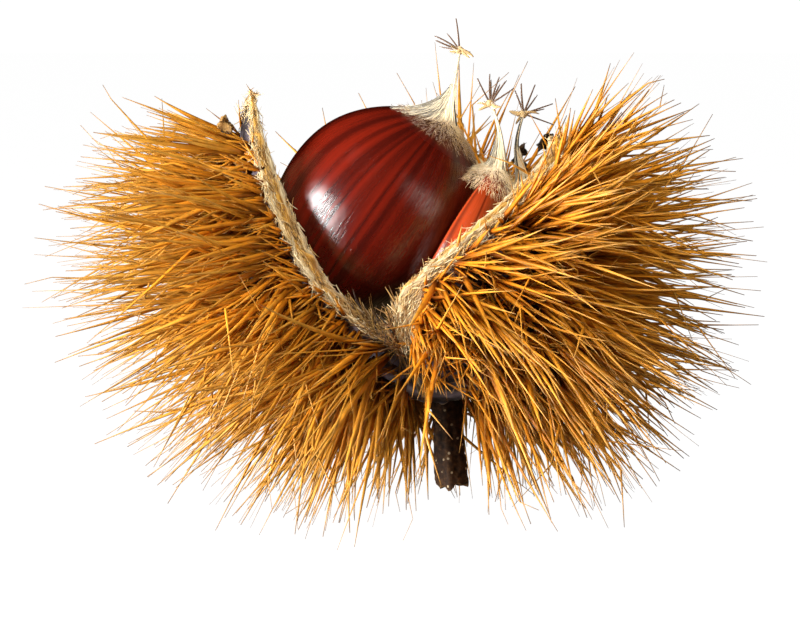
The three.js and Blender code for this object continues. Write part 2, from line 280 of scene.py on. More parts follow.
def nut_shell(flesh, mid, dark):
    """Ripe chestnut shell: a waxy polish over soft dark stripes and a brushed grain from tip to scar, with
    painted shade on the side away from the lamps.
    """
    # a unit of the grain is the nut's radius, some 15 mm: stripes 6 mm, hairlines 0.3 mm, dashes 0.35 mm
    def build(tree):
        grain = add(tree, "Attribute", {"attribute_name": "grain"}).outputs["Vector"]
        height = add(tree, "Attribute", {"attribute_name": "height"}).outputs["Fac"]
        lamp_facing = add(tree, "Attribute", {"attribute_name": "painted_side_shade"}).outputs["Fac"]
        broad = add(tree, "Mapping", {"Scale": (2.5, 2.5, 0.35)}, {"Vector": grain})
        stripes = add(tree, "TexNoise", {"Scale": 1.0, "Detail": 1.0, "Roughness": 0.4}, {"Vector": broad})
        fine = add(tree, "Mapping", {"Scale": (54.0, 54.0, 17.0)}, {"Vector": grain})
        hairlines = add(tree, "TexNoise", {"Scale": 1.0, "Detail": 4.0, "Roughness": 0.65}, {"Vector": fine})
        striped = add(tree, "ValToRGB", links={0: stripes}, stops=[
            (0.3, mid), (0.38, flesh), (0.435, dark), (0.49, flesh), (0.525, flesh), (0.575, dark),
            (0.62, flesh), (0.7, mid)])
        lined = shaded(tree, striped, hairlines, [(0.3, 0.84), (0.6, 1.03)])
        # painted shade: the colour is darkened to about a third on the side of the nut away from the lamps,
        # and lifted a little on the side facing them
        painted_side_shade = shaded(tree, lined, lamp_facing, [(0.2, 0.34), (0.55, 0.72), (0.8, 1.15)])
        scarred = laid_over(tree, painted_side_shade, "#b59468", height, [(0.1, 1.0), (0.13, 0.0)])
        dusty = laid_over(tree, scarred, "#3c2412", height, [(0.9, 0.0), (0.98, 1.0)])
        dull = add(tree, "ValToRGB", links={0: height}, stops=[
            (0.1, 0.8), (0.14, 0.2), (0.88, 0.22), (0.97, 0.75)])
        bump = add(tree, "Bump", {"Strength": 1.0, "Distance": 0.05 * MM}, {"Height": hairlines})
        dashes = add(tree, "Mapping", {"Scale": (44.0, 44.0, 42.0)}, {"Vector": grain})
        brushed = add(tree, "TexNoise", {"Scale": 1.0, "Detail": 2.0}, {"Vector": dashes})
        wax = add(tree, "ValToRGB", links={0: brushed}, stops=[(0.4, 0.3), (0.5, 0.75), (0.6, 1.0)])
        links = {"Base Color": dusty, "Roughness": dull, "Normal": bump, "Coat Normal": bump}
        return {"Coat Roughness": 0.09}, links | {"Coat Weight": wax}
    return build


def style_silk(tree):
    """Dried style and its felt: cream silky hair, dusty brown fur below it, stiff dark stigmas."""
    age = add(tree, "Attribute", {"attribute_name": "age"}).outputs["Fac"]
    place = add(tree, "TexCoord").outputs["Object"]
    strands = add(tree, "TexNoise", {"Scale": 1 / (0.6 * MM), "Detail": 3.0}, {"Vector": place})
    colour = add(tree, "ValToRGB", links={0: age}, stops=[
        (0.0, "#fff6e0"), (0.25, "#f3e2bd"), (0.5, "#c8a972"), (0.7, "#8a6636"), (0.85, "#6a4522"),
        (0.99, "#4a2f16")])
    mixed = shaded(tree, colour, strands, [(0.3, 0.8), (0.65, 1.0)])
    return {"Roughness": 0.65, "Sheen Weight": 0.7, "Sheen Roughness": 0.4}, {"Base Color": mixed}


def stalk_bark(tree):
    """Young chestnut twig: nearly black brown bark with pale raised pores, and a torn woody end."""
    place = add(tree, "TexCoord").outputs["Object"]
    cut = add(tree, "Attribute", {"attribute_name": "cut"}).outputs["Fac"]
    pores = add(tree, "TexVoronoi", {"Scale": 1 / (1.3 * MM)}, {"Vector": place}).outputs["Distance"]
    rough = add(tree, "TexNoise", {"Scale": 1 / (0.8 * MM), "Detail": 6.0}, {"Vector": place})
    bark = add(tree, "ValToRGB", links={0: rough}, stops=[
        (0.3, "#190d05"), (0.55, "#3a2411"), (0.8, "#5e4123")])
    wood = add(tree, "ValToRGB", links={0: rough}, stops=[
        (0.3, "#24150a"), (0.55, "#6b4a26"), (0.75, "#a07c4c")])
    spotted = laid_over(tree, bark, "#b09a78", pores, [(0.1, 1.0), (0.18, 0.0)])
    mixed = add(tree, "Mix", {"data_type": "RGBA"}, {"Factor": cut, 6: spotted, 7: wood})
    bump = add(tree, "Bump", {"Strength": 0.7, "Distance": 0.25 * MM}, {"Height": rough})
    return {"Roughness": 0.8, "Specular IOR Level": 0.25}, {"Base Color": mixed, "Normal": bump}


# ---------- small mesh tools ----------

def unit(vectors):
    return vectors / np.maximum(np.linalg.norm(vectors, axis=-1, keepdims=True), 1e-9)


def make_piece(name, material, points_mm, faces, nodes=()):
    """A piece from points in millimetres in the cup's frame. It stands for these nodes of the frame."""
    mesh = bpy.data.meshes.new(name)
    mesh.from_pydata(((points_mm + SHIFT) * MM).tolist(), [], faces)
    mesh.polygons.foreach_set("use_smooth", [True] * len(mesh.polygons))
    mesh.materials.append(material)
    mesh.update()
    piece = bpy.data.objects.new(name, mesh)
    bpy.context.scene.collection.objects.link(piece)
    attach(piece, "root")
    if nodes:
        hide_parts(*nodes)
    return piece


def point_values(piece, name, values, kind="FLOAT"):
    attribute = piece.data.attributes.new(name, kind, "POINT")
    key = "vector" if kind == "FLOAT_VECTOR" else "value"
    attribute.data.foreach_set(key, np.asarray(values, np.float32).ravel())


def side_axes(directions):
    """Two directions across each of these."""
    helper = np.where(np.abs(directions[:, 2:3]) < 0.8, [[0.0, 0.0, 1.0]], [[1.0, 0.0, 0.0]])
    one = unit(np.cross(directions, helper))
    return one, np.cross(directions, one)


def wobble(points, size, amount, seed):
    """Smooth random shifts of points, with lumps of the given size."""
    shifts = [noise.noise_vector(Vector(p / size) + Vector((seed * 7.3, seed * 3.1, 0))) for p in points]
    return points + amount * np.array(shifts)


def ring_faces(rows, sides):
    """Quads between rows of points, where each row is a closed ring."""
    faces = []
    for r in range(rows - 1):
        for s in range(sides):
            n = (s + 1) % sides
            faces.append((r * sides + s, r * sides + n, (r + 1) * sides + n, (r + 1) * sides + s))
    return faces


def sweep(paths, widths, flat=0.8, turn=0.0, sides=4):
    """Closed strands round paths (count, rings, 3) of these widths (count, rings): (points, faces)."""
    count, rings = widths.shape
    one, two = side_axes(unit(paths[:, -1] - paths[:, 0]))
    turn = np.broadcast_to(turn, count)[:, None]
    one, two = one * np.cos(turn) + two * np.sin(turn), two * np.cos(turn) - one * np.sin(turn)
    two = two * np.broadcast_to(flat, count)[:, None]
    angles = 2 * np.pi * np.arange(sides) / sides
    round_way = one[:, None] * np.cos(angles)[:, None] + two[:, None] * np.sin(angles)[:, None]
    points = paths[:, :, None] + (widths / 2)[:, :, None, None] * round_way[:, None]
    ring, side = np.meshgrid(np.arange(rings - 1) * sides, np.arange(sides), indexing="ij")
    after = (side + 1) % sides
    quads = np.stack([ring + side, ring + after, ring + sides + after, ring + sides + side], -1)
    starts = np.arange(count)[:, None] * rings * sides
    faces = (quads.reshape(1, -1, 4) + starts[:, :, None]).reshape(-1, 4).tolist()
    faces += (np.arange(sides)[::-1] + starts).tolist()
    faces += (np.arange(sides) + (rings - 1) * sides + starts).tolist()
    return points.reshape(-1, 3), faces


def shifts(ways, amounts):
    """Shifts along each strand's way by these amounts (count, rings)."""
    return ways[:, None] * amounts[..., None]


def strand_paths(rng, roots, directions, lengths, bend=0.06, kinks=0.0, rings=8):
    """Bent paths for strands, some of them snapped near their ends, and the share at each ring."""
    count = len(roots)
    one, two = side_axes(directions)
    shares = np.linspace(0, 1, rings) ** 0.85
    sway = rng.normal(0, bend, count) * lengths
    snapped = rng.random(count) < kinks
    snap_at = shares[rng.integers(rings - 4, rings - 1, count)]
    snap_by = np.where(snapped, rng.uniform(0.5, 1.7, count), 0.0) * np.minimum(lengths, 15)
    snap_turn = rng.uniform(0, 2 * np.pi, count)[:, None]
    snap_way = one * np.cos(snap_turn) + two * np.sin(snap_turn)
    past = np.maximum(0, shares[None] - snap_at[:, None])
    paths = roots[:, None] + shifts(directions, lengths[:, None] * shares)
    paths = paths + shifts(two, sway[:, None] * shares ** 2) + shifts(snap_way, snap_by[:, None] * past)
    return paths, shares


def tint_strands(piece, tints, shares, sides):
    """Lays each strand in its own column of the UV map: its tint across, its length up."""
    per = len(shares) * sides
    corners = np.zeros(len(piece.data.loops), np.int32)
    piece.data.loops.foreach_get("vertex_index", corners)
    layer = piece.data.uv_layers.new(name="OFBake")
    used_width, column_width = 0.98, 0.004
    across = np.repeat(tints, per)[corners] * used_width + (corners % sides) / sides * column_width
    up = np.tile(np.repeat(shares, sides), len(tints))[corners]
    layer.data.foreach_set("uv", np.stack([across, up], 1).ravel())


# ---------- the wall of the burr ----------

def cup_centre(height):
    """Where the cup's middle is at a height."""
    share = np.clip((CUP["lean_to"] - height) / (CUP["lean_to"] - CUP["lean_from"]), 0, 1)
    return CUP["base"] * share[..., None]


def profile(valve, along, depth):
    """Radius, height and tilt of the wall: along runs from 0 at the stalk to 1 at the valve's tip."""
    radius = CUP["radius"] - depth
    cup_length = CUP["radius"] * (math.pi / 2 - math.asin(CUP["hole"] / CUP["radius"]))
    flank = valve["tip"][1] - CUP["waist"]
    travelled = along * (cup_length + flank)
    in_cup = np.minimum(travelled / cup_length, 1)
    angle = np.arcsin(CUP["hole"] / radius) * (1 - in_cup) + math.pi / 2 * in_cup
    climb = np.maximum(travelled - cup_length, 0)
    ring = radius * np.sin(angle) + CUP["swell_out"] * climb - CUP["swell_back"] * climb ** 2
    height = CUP["waist"] - radius * np.cos(angle) + climb
    tilt = angle + math.radians(valve["lift"]) * climb / flank
    return ring, height, tilt


def edge_azimuth(valve, edge, height):
    """Where a valve's edge is at a height: on the seam below the notch, and drawn in to the tip above it."""
    seam, notch, power, fullness = edge
    tip_azimuth, tip_height = valve["tip"]
    climbed = np.clip((height - notch) / (tip_height - notch), 0, 1)
    width = np.maximum((1 - climbed ** power) ** fullness, CUP["tip_width"])
    return np.radians(tip_azimuth + (seam - tip_azimuth) * width)


def wall_points(valve, along, across, depth):
    """Points on the wall, with their azimuth, tilt and the wall's half width there."""
    along, across, depth = np.broadcast_arrays(np.asarray(along, float), across, depth)
    ring, height, tilt = profile(valve, along, depth)
    gap = CUP["seam_gap"] / 2 / ring
    start = edge_azimuth(valve, valve["start"], height) + gap
    end = edge_azimuth(valve, valve["end"], height) - gap
    azimuth = start + (end - start) * across
    centre = cup_centre(height)
    deep = CUP["hole"] + (ring - CUP["hole"]) * CUP["flatness"]
    east = centre[..., 0] + ring * np.cos(azimuth)
    north = centre[..., 1] + deep * np.sin(azimuth)
    return np.stack([east, north, height], -1), azimuth, tilt, ring * (end - start) / 2


def wall_thickness(valve, along):
    thinned = np.minimum(1, along / CUP["thins_over"])
    thickness = CUP["wall_at_base"] + (CUP["wall_at_rim"] - CUP["wall_at_base"]) * thinned
    tip_from = 0.66
    near_tip = np.clip((along - tip_from) / (1 - tip_from), 0, 1)
    return thickness * (1 - valve["thin_tip"] * near_tip ** 1.5)


def wall_shape(valve, turns):
    """Both skins as grids, the outline's place in them, the rim's bands and the bands' ways out."""
    steps = WALL_STEPS
    along = np.linspace(0, 1, steps + 1)[:, None]
    across = np.linspace(0, 1, steps + 1)[None]
    outer = wall_points(valve, along, across, 0.0)[0].reshape(-1, 3)
    inner = wall_points(valve, along, across, wall_thickness(valve, along))[0].reshape(-1, 3)
    width = steps + 1
    loop = list(range(steps)) + [r * width + steps for r in range(steps)]
    loop += [steps * width + c for c in range(steps, 0, -1)] + [r * width for r in range(steps, 0, -1)]
    loop = np.array(loop)
    middle = (outer[loop].mean(0) + inner[loop].mean(0)) / 2
    shares = np.linspace(0, 1, turns + 1)[:, None, None]
    bands = outer[loop] * (1 - shares) + inner[loop] * shares
    away = unit(bands - middle)
    bulge = 0.5 * np.sin(np.pi * shares) + 0.16 * np.sin(5 * np.pi * shares)
    return outer, inner, loop, bands + away * bulge, away


def felted(valve):
    """How far the outer skin has turned to rim felt: a strip along the parted edges."""
    shares = np.linspace(0, 1, WALL_STEPS + 1)
    across = shares[None]
    points, _, _, half = wall_points(valve, shares[:, None], across, 0.0)
    from_edge = (1 - np.abs(2 * across - 1)) * half
    notch = np.where(across < 0.5, valve["start"][1], valve["end"][1])
    parted = np.clip((points[..., 2] - notch) / 3 + 0.6, 0, 1)
    return 0.34 * parted * np.clip(1 - (from_edge - valve["felt_strip"]) / 0.7, 0, 1)


def make_wall(name, valve, material):
    """A valve's two skins and torn rim. zone runs from 0 outside, over the rim, to 1 inside."""
    turns = 10
    outer, inner, loop, bands, _ = wall_shape(valve, turns)
    steps_round = np.linalg.norm(np.diff(outer[loop], axis=0), axis=1)
    travelled = np.concatenate([[0], np.cumsum(steps_round)])
    count = len(outer)
    rim = bands[1:-1].reshape(-1, 3)
    points = np.concatenate([outer, inner, rim])
    run = np.zeros(len(points))
    rim_outside, rim_inside = 0.3, 0.7
    band_zones = rim_outside + (rim_inside - rim_outside) * np.arange(1, turns) / turns
    zone = np.concatenate([np.zeros(count), np.ones(count), np.repeat(band_zones, len(loop))])
    for index in (loop, loop + count):
        run[index] = travelled
    run[2 * count:] = np.tile(travelled, turns - 1)
    zone[:count] = felted(valve).ravel()
    zone[loop], zone[loop + count] = rim_outside, rim_inside
    width = WALL_STEPS + 1
    faces = []
    for r in range(WALL_STEPS):
        for c in range(WALL_STEPS):
            a, b = r * width + c, r * width + c + 1
            faces.append((a, b, b + width, a + width))
            faces.append((count + a + width, count + b + width, count + b, count + a))
    between = [2 * count + turn * len(loop) + np.arange(len(loop)) for turn in range(turns - 1)]
    rows = [loop, *between, loop + count]
    for first, second in zip(rows, rows[1:]):
        faces += np.stack([np.roll(first, -1), first, second, np.roll(second, -1)], 1).tolist()
    on_rim = ((zone > 0) & (zone < 1))[:, None]
    ragged = wobble(wobble(points, 2.2, 0.5, valve["seed"]), 0.7, 0.3, valve["seed"] + 1)
    points = np.where(on_rim, ragged, wobble(points, 3.0, 0.3, valve["seed"]))
    piece = make_piece(f"{name}_wall", material, points, faces, (name,))
    point_values(piece, "zone", zone)
    per_mm_along, over_rim = 0.12, 11.0
    grain = np.stack([run * per_mm_along, zone * over_rim, np.zeros(len(run))], 1)
    point_values(piece, "fibre_grain", grain, "FLOAT_VECTOR")


def strip_fibres(rng, valve, count):
    """Roots and directions of the fibres that lie along the felted strip beside the rim."""
    along = rng.uniform(0.4, 0.98, count)
    side = rng.choice([-1, 1], count)
    half = wall_points(valve, along, 0.5, 0.0)[3]
    inset = rng.uniform(0, valve["felt_strip"] + 0.3, count) / (2 * half)
    across = 0.5 + side * np.maximum(0.5 - inset, 0)
    points, azimuth, tilt, _ = wall_points(valve, along, across, 0.0)
    ways = unit(wall_points(valve, along + 0.01, across, 0.0)[0] - points)
    ways = ways * rng.choice([-1, 1], count)[:, None]
    outward = outward_way(tilt, azimuth)
    ways = unit(ways + outward * rng.uniform(0.0, 0.35, count)[:, None] + rng.normal(0, 0.22, (count, 3)))
    kept = points[:, 2] > np.where(side < 0, valve["start"][1], valve["end"][1])
    return points[kept], ways[kept]


def make_scraps(name, valve, material):
    """Curled shreds of dead skin that cling to the rim."""
    rng = np.random.default_rng(valve["seed"] + 60)
    feet, ways, lengths, widths, tints = (np.array(values) for values in zip(*valve["scraps"]))
    ways = unit(ways)
    shares = np.linspace(0, 1, 16)
    sides = 12
    curl = 0.25 * lengths[:, None] * np.sin(np.pi * shares)
    paths = feet[:, None] + shifts(ways, lengths[:, None] * shares)
    paths = paths + shifts(np.cross(ways, [0.0, 1.0, 0.0]), curl)
    rounded = np.sqrt(np.maximum(1 - (2 * shares - 1) ** 2, 0.01))
    points, faces = sweep(paths, widths[:, None] * rounded, 0.55, rng.uniform(0, np.pi, len(feet)), sides)
    points = wobble(wobble(points, 1.3, 1.1, valve["seed"] + 3), 0.5, 0.5, valve["seed"])
    piece = make_piece(f"{name}_scraps", material, points, faces)
    tint_strands(piece, tints, shares, sides)


def make_rim_fibres(name, valve, material):
    """Loose fibres all along the torn rim, thickest where the valves parted at the front."""
    rng = np.random.default_rng(valve["seed"] + 20)
    turns = 8
    _, _, loop, bands, away = wall_shape(valve, turns)
    height = bands[0, :, 2]
    notch = min(valve["start"][1], valve["end"][1])
    front_notch = VALVES["left_valve"]["end"][1]
    front = np.exp(-((height - front_notch) / 3.5) ** 2) * (bands[0, :, 1] < 0)
    near_tip = np.clip((valve["tip"][1] - height) / 5, 0.04, 1)
    wanted = np.where(height > notch - 2, (1.0 + 4.0 * front) * near_tip, 0.0)
    count = RIM_FIBRES
    spot = rng.choice(len(loop), count, p=wanted / wanted.sum())
    turn = rng.integers(0, turns + 1, count)
    along = unit(bands[turn, (spot + 1) % len(loop)] - bands[turn, spot - 1])
    along = along * rng.choice([-1, 1], count)[:, None]
    outward = away[turn, spot]
    sideways = unit(bands[-1, spot] - bands[0, spot])
    brown = front[spot] > 0.4
    directions = unit(along + outward * (0.45 * rng.random(count) ** 2 - 0.08)[:, None]
                      + sideways * rng.normal(0, 0.3, count)[:, None])
    lengths = rng.uniform(0.7, 2.2, count) * (1 + 1.5 * front[spot])
    roots = bands[turn, spot] + along * rng.uniform(-0.4, 0.4, count)[:, None] - outward * 0.1
    widths = rng.uniform(0.08, 0.22, count) * (1 + 0.7 * front[spot])
    strip_roots, strip_ways = strip_fibres(rng, valve, int(STRIP_FIBRES_PER_MM * valve["felt_strip"]))
    extra = len(strip_roots)
    roots = np.concatenate([roots, strip_roots])
    directions = np.concatenate([directions, strip_ways])
    lengths = np.concatenate([lengths, rng.uniform(0.8, 2.4, extra)])
    widths = np.concatenate([widths, rng.uniform(0.1, 0.24, extra)])
    paths, shares = strand_paths(rng, roots, directions, lengths, bend=0.22, kinks=0.2, rings=6)
    taper = np.sqrt(1 - 0.92 * shares ** 2)
    points, faces = sweep(paths, widths[:, None] * taper, 0.6, rng.uniform(0, np.pi, len(widths)))
    piece = make_piece(f"{name}_rim_fibres", material, points, faces)
    band_tint = 0.6 + 0.2 * np.cos(2 * np.pi * turn / turns)
    tints = np.concatenate([np.where(brown, 0.34, band_tint), np.full(extra, 0.85)])
    tints = np.clip(rng.normal(tints, 0.17), 0, 1)
    tint_strands(piece, tints, shares, 4)


# ---------- spines ----------

def length_to_reach(roots, directions):
    """How long a straight spine is where it meets the egg."""
    p = (roots - [0, 0, REACH_HEIGHT]) / REACH
    d = directions / REACH
    a = (d * d).sum(-1)
    b = (p * d).sum(-1)
    c = (p * p).sum(-1) - 1
    return (-b + np.sqrt(np.maximum(0, b * b - a * c))) / a


def outward_way(tilt, azimuth):
    """The way out of the wall: tilt is 0 straight down and a quarter turn when level."""
    return np.stack([np.sin(tilt) * np.cos(azimuth), np.sin(tilt) * np.sin(azimuth), -np.cos(tilt)], -1)


def edge_way(points, further, distance):
    """The way along the wall to its nearest edge, faded out where the edge is far off."""
    return unit(further - points) * np.clip(2 - distance / 3, 0, 1)[:, None]


def spine_clusters(rng, valve, spacing, margin):
    """Roots, main directions and ways to the edge of the spine clusters all over a valve."""
    length = CUP["radius"] * 1.4 + valve["tip"][1] - CUP["waist"]
    rows = int(length / spacing)
    found = []
    for row in range(rows):
        along = 0.13 + 0.85 * (row + rng.uniform(-0.3, 0.3)) / rows
        half = float(wall_points(valve, along, 0.5, 0.0)[3])
        usable = 2 * max(half - margin, 0.3)
        count = max(1, round(usable / spacing))
        spread = (np.arange(count) + 0.5 + rng.uniform(-0.35, 0.35, count)) / count - 0.5
        across = 0.5 + spread * usable / (2 * half)
        spot = np.clip(along + rng.uniform(-0.32, 0.32, count) / rows, 0.1, 0.985)
        points, azimuth, tilt, _ = wall_points(valve, spot, across, 0.4)
        middle = wall_points(valve, along, 0.5, 0.0)[1]
        mains = outward_way(tilt, middle + (azimuth - middle) * valve["parting"])
        further = wall_points(valve, spot, across + 0.01 * np.sign(across - 0.5), 0.4)[0]
        ways = edge_way(points, further, (0.5 - np.abs(across - 0.5)) * 2 * half)
        found.append((points, mains, ways))
    return [np.concatenate(parts) for parts in zip(*found)]


def rim_clusters(rng, valve, spacing):
    """Roots, main directions and ways to the edge of the short star clusters beside the rim."""
    found = []
    for edge, side in ((valve["start"], -1), (valve["end"], 1)):
        along = np.arange(0.4, 0.97, spacing / 60)
        for inset in (valve["felt_strip"] + 0.3, valve["felt_strip"] + 2.1):
            half = wall_points(valve, along, 0.5, 0.0)[3]
            inward = (inset + rng.uniform(-0.5, 0.9, len(along))) / (2 * half)
            across = 0.5 + side * np.clip(0.5 - inward, 0.02, 0.48)
            points, azimuth, tilt, _ = wall_points(valve, along, across, 0.3)
            further = wall_points(valve, along, across + 0.01 * side, 0.3)[0]
            kept = points[:, 2] > edge[1] - 7
            found.append((points[kept], outward_way(tilt, azimuth)[kept], unit(further - points)[kept]))
    return [np.concatenate(parts) for parts in zip(*found)]


def grow_spines(rng, valve, roots, mains, ways, kind):
    """Roots, directions, lengths, widths and snap chances of one kind of spine on these clusters."""
    mains, roots, ways = (np.repeat(values, kind["each"], 0) for values in (mains, roots, ways))
    count = len(roots)
    one, two = side_axes(mains)
    lean = np.radians(np.minimum(np.abs(rng.normal(0, kind["spread"], count)), kind["most"]))
    turn = rng.uniform(0, 2 * np.pi, count)
    sideways = one * np.cos(turn)[:, None] + two * np.sin(turn)[:, None]
    directions = unit(mains * np.cos(lean)[:, None] + sideways * np.sin(lean)[:, None])
    over_edge = (directions * ways).sum(-1)
    turned = (over_edge > 0.08) & (rng.random(count) < 0.93)
    directions = unit(directions - ways * (1.9 * over_edge * turned)[:, None])
    steep = directions[:, 2] > valve["steepest"]
    directions[steep, 2] = valve["steepest"] * rng.uniform(0.6, 1.0, steep.sum())
    directions = unit(directions)
    roots = roots + sideways * rng.uniform(0, 0.6, count)[:, None]
    low, high = kind["length"]
    lengths = low + (high - low) * rng.random(count) ** 1.2
    full = length_to_reach(roots, directions)
    shared = lengths * full * (1 - 0.15 * np.minimum(lean, 1))
    lengths = np.where(high > 2, np.minimum(lengths, full * 0.9), shared)
    downward = np.maximum(-directions[:, 2], 0.05)
    room = np.where(directions[:, 2] < -0.05, (roots[:, 2] - 0.6) / downward, 1e3)
    lengths = np.maximum(np.minimum(lengths, room * 0.98), 2.0)
    widths = rng.uniform(*kind["width"], count)
    return roots, directions, lengths, widths, np.full(count, kind["kinks"])


def crown_spines(rng, valve):
    """Tall pale spines that stand up from a valve's top."""
    count = valve["crown"]
    along = rng.uniform(0.8, 0.97, count)
    roots = wall_points(valve, along, rng.uniform(0.15, 0.85, count), 0.3)[0]
    directions = unit(rng.normal([-0.12, 0.12, 1.0], [0.28, 0.14, 0.05], (count, 3)))
    lengths = rng.uniform(12.0, 20.0, count)
    widths = rng.uniform(0.35, 0.8, count)
    return roots, directions, lengths, widths, np.full(count, 0.3)


def on_bare_patch(roots):
    """Which roots are on the patch over the stalk."""
    inside = np.abs(roots[:, [0, 2]] - BARE_PATCH["middle"]) < BARE_PATCH["half"]
    return inside.all(1) & (roots[:, 1] < -10)


def is_rubbed_off(rng, roots, directions, lengths):
    """Spines missing in front of the stalk: nearly all of those that would pass over it."""
    reach, top, behind, missing = 3.4, 20.5, 2.0, 0.97
    middle = STALK_CUT[0] - 0.6
    over_stalk = np.zeros(len(roots), bool)
    for share in (0.3, 0.45, 0.6, 0.8, 1.0):
        point = roots + directions * (lengths * share)[:, None]
        over_stalk |= (np.abs(point[:, 0] - middle) < reach) & (point[:, 2] < top) & (point[:, 1] < behind)
    return over_stalk & (rng.random(len(roots)) < missing)


def make_spines(name, valve, material):
    """All the spines of a valve, cut to the egg and kept off the ground."""
    rng = np.random.default_rng(valve["seed"])
    roots, mains, ways = spine_clusters(rng, valve, CLUSTER_SPACING, 0.7 * valve["felt_strip"])
    mains = unit(mains + rng.normal(0, 0.24, mains.shape))
    bare = on_bare_patch(roots)
    full = ~bare | (rng.random(len(roots)) < 0.2)
    grown = []
    for kind, growing in (("long", full), ("far", full), ("branch", full), ("star", bare)):
        grown.append(grow_spines(rng, valve, roots[growing], mains[growing], ways[growing], SPINES[kind]))
    grown.append(grow_spines(rng, valve, *rim_clusters(rng, valve, RIM_SPACING), SPINES["rim"]))
    grown.append(crown_spines(rng, valve))
    roots, directions, lengths, widths, kinks = (np.concatenate(parts) for parts in zip(*grown))
    kept = ~is_rubbed_off(rng, roots, directions, lengths)
    kept &= roots[:, 2] < valve["tip"][1] - valve["bare_tip"]
    roots, directions, lengths, widths, kinks = (v[kept] for v in (roots, directions, lengths, widths, kinks))
    paths, shares = strand_paths(rng, roots, directions, lengths, bend=0.06, kinks=kinks)
    middle = np.array([0, 0, REACH_HEIGHT])
    past = np.maximum(np.linalg.norm((paths - middle) / REACH, axis=-1, keepdims=True) / FARTHEST, 1)
    paths = middle + (paths - middle) / past
    paths[..., 2] = np.maximum(paths[..., 2], 0.3)
    count = len(roots)
    foot = 1 + 0.3 * np.exp(-shares * lengths[:, None] / 1.2)
    taper = (1 - shares ** 2) * foot
    widths = np.maximum(widths[:, None] * taper, THINNEST_SPINE)
    points, faces = sweep(paths, widths, rng.uniform(0.3, 0.7, count), rng.uniform(0, np.pi, count))
    points[:, 2] = np.maximum(points[:, 2], 0.05)
    piece = make_piece(f"{name}_spines", material, points, faces)
    short = np.clip(1 - lengths / 14, 0, 1)
    tints = np.clip(rng.normal(valve["hue"], 0.22, count) + 0.35 * short, 0, 1)
    tint_strands(piece, tints, shares, 4)


# ---------- nuts ----------

# Radius and height from the scar to the tip, as shares of the nut's half sizes.
NUT_OUTLINE = np.array([
    (0.0, -0.98), (0.5, -0.95), (0.85, -0.62), (1.0, -0.08),
    (0.88, 0.44), (0.5, 0.8), (0.17, 0.95), (0.0, 1.0),
])


def through_corners(share):
    """A smooth curve through the corners of the outline."""
    steps = np.asarray(share, float) * (len(NUT_OUTLINE) - 1)
    padded = np.concatenate([2 * NUT_OUTLINE[:1] - NUT_OUTLINE[1:2], NUT_OUTLINE,
                             2 * NUT_OUTLINE[-1:] - NUT_OUTLINE[-2:-1]])
    base = np.minimum(steps.astype(int), len(NUT_OUTLINE) - 2)
    t = (steps - base)[..., None]
    p0, p1, p2, p3 = (padded[base + k] for k in range(4))
    return 0.5 * (2 * p1 + (p2 - p0) * t + (2 * p0 - 5 * p1 + 4 * p2 - p3) * t ** 2
                  + (3 * p1 - p0 - 3 * p2 + p3) * t ** 3)


def on_outline(share):
    """The outline with its corners eased: share runs from 0 at the scar to 1 at the tip."""
    share = np.asarray(share, float)
    reach = 0.035
    reach = reach * np.minimum(1, np.minimum(share, 1 - share) / (2 * reach))
    curve = np.mean([through_corners(share + reach * step) for step in (-2, -1, 0, 1, 2)], 0)
    curve[..., 0] = np.maximum(curve[..., 0], 0)
    return curve


def nut_axes(nut):
    """The nut's own axes after its upright axis is tilted the shortest way."""
    axis = unit(nut["axis"])
    turn = unit(np.cross([0.0, 0.0, 1.0], axis))
    angle = math.acos(axis[2])
    tilted = []
    for v in np.eye(3)[:2]:
        tilted.append(v * math.cos(angle) + np.cross(turn, v) * math.sin(angle)
                      + turn * turn.dot(v) * (1 - math.cos(angle)))
    return tilted[0], tilted[1], axis


def on_nut(nut, share, angle):
    outline = on_outline(share)
    u, v, w = nut_axes(nut)
    half = nut["size"] / 2
    ridge = 1 + 0.006 * np.sin(angle * 5 + nut["seed"]) + 0.004 * np.sin(angle * 11 + 2 * nut["seed"])
    across = (outline[..., 0] * np.cos(angle) * ridge * half[0])[..., None] * u
    deep = (outline[..., 0] * np.sin(angle) * ridge * half[1])[..., None] * v
    return nut["centre"] + across + deep + (outline[..., 1] * half[2])[..., None] * w


def press(points, plane, sign, gap=0.15, softness=0.5):
    """Flattens what lies past a plane, with a rounded edge."""
    point, normal = plane
    normal = unit(normal) * sign
    past = (points - point) @ normal + gap
    kept = -softness * np.log1p(np.exp(np.clip(-past / softness, -60, 60)))
    return points + normal * (kept - past)[:, None]


def make_nut(name, planes, material):
    nut = NUTS[name]
    """A nut's shell, flat where it was pressed, with a grain that runs round it and up it."""
    rings, columns = 100, 144
    share = np.linspace(0, 1, rings)[1:-1]
    angles = np.linspace(0, 2 * np.pi, columns, endpoint=False)
    points = on_nut(nut, share[:, None], angles[None]).reshape(-1, 3)
    points = np.concatenate([points, on_nut(nut, np.array([0.0, 1.0]), np.zeros(2))])
    for plane, sign in planes:
        points = press(points, plane, sign)
    count = len(share)
    faces = ring_faces(count, columns)
    bottom, top = count * columns, count * columns + 1
    for c in range(columns):
        n = (c + 1) % columns
        faces.append((bottom, n, c))
        faces.append((top, (count - 1) * columns + c, (count - 1) * columns + n))
    piece = make_piece(f"{name}_shell", material, points, faces, (name,))
    level = np.concatenate([np.repeat((on_outline(share)[:, 1] + 1) / 2, columns), [0.0, 1.0]])
    around = np.concatenate([np.tile(angles, count), [0.0, 0.0]])
    grain = np.stack([np.cos(around), np.sin(around), level * 0.5 + nut["seed"]], 1)
    point_values(piece, "grain", grain, "FLOAT_VECTOR")
    point_values(piece, "height", level)
    # painted shade: how far each point faces the lamps, which the shell's colour is darkened by away from
    # them
    point_values(piece, "painted_side_shade", 0.5 + 0.5 * unit(points - nut["centre"]) @ unit(LAMP_SIDE))


